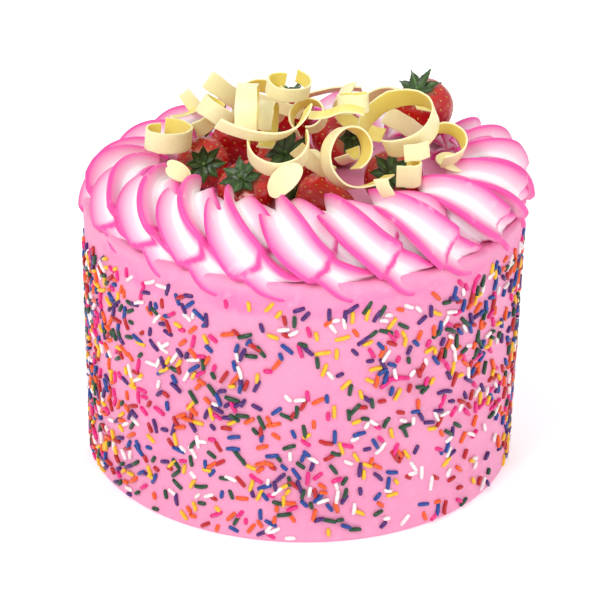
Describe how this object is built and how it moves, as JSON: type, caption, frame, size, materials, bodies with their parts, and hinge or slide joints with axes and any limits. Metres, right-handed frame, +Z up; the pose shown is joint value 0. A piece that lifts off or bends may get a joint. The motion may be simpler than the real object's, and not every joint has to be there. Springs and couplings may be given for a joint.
{
  "type": "iced layer cake",
  "caption": "Tall round iced layer cake with sprinkled side, piped rope border, strawberries and white chocolate curls.",
  "frame": {"origin": "middle of the flat foot of the cake, on the surface that it stands on", "axes": "+Z up along the cake's axis; the front of the cake, as in the picture, faces -Y; +X is the picture's right"},
  "size_m": [0.2167, 0.2197, 0.2014],
  "materials": {
    "pink_icing": "smooth satin buttercream",
    "piped_icing": "piped buttercream, white in the valleys and pink on the crests",
    "strawberry": "moist glossy fruit with seeds",
    "leaf": "green leaf",
    "white_chocolate": "satin chocolate"
  },
  "bodies": {
    "root": {"cake_body": "pink_icing", "piped_border": "piped_icing", "strawberry_1": "strawberry", "strawberry_leaves_1": "leaf", "strawberry_2": "strawberry", "strawberry_leaves_2": "leaf", "strawberry_3": "strawberry", "strawberry_leaves_3": "leaf", "strawberry_4": "strawberry", "strawberry_leaves_4": "leaf", "strawberry_5": "strawberry", "strawberry_leaves_5": "leaf", "strawberry_6": "strawberry", "strawberry_leaves_6": "leaf", "strawberry_7": "strawberry", "strawberry_leaves_7": "leaf", "strawberry_8": "strawberry", "strawberry_leaves_8": "leaf", "strawberry_9": "strawberry", "strawberry_leaves_9": "leaf", "curl_arch": "white_chocolate", "curl_arch_behind": "white_chocolate", "curl_back_flat": "white_chocolate", "curl_big_ring": "white_chocolate", "curl_block": "white_chocolate", "curl_broad_back": "white_chocolate", "curl_end_tab": "white_chocolate", "curl_hoop": "white_chocolate", "curl_in_hoop": "white_chocolate", "curl_inside": "white_chocolate", "curl_left_fold": "white_chocolate", "curl_left_ring": "white_chocolate", "curl_left_tab": "white_chocolate", "curl_long": "white_chocolate", "curl_lower_run": "white_chocolate", "curl_rear_ring": "white_chocolate", "curl_rear_sweep": "white_chocolate", "curl_right": "white_chocolate", "curl_small_ring": "white_chocolate", "curl_square": "white_chocolate", "curl_stub": "white_chocolate", "curl_sweep": "white_chocolate", "curl_tail": "white_chocolate", "curl_top_ring": "white_chocolate", "curl_top_under": "white_chocolate", "curl_twist": "white_chocolate", "curl_u_ring": "white_chocolate", "curl_yellow": "white_chocolate", "shaving_front": "white_chocolate", "shaving_left": "white_chocolate", "shaving_pale": "white_chocolate", "shaving_petal": "white_chocolate", "shaving_right": "white_chocolate"}
  },
  "joints": []
}
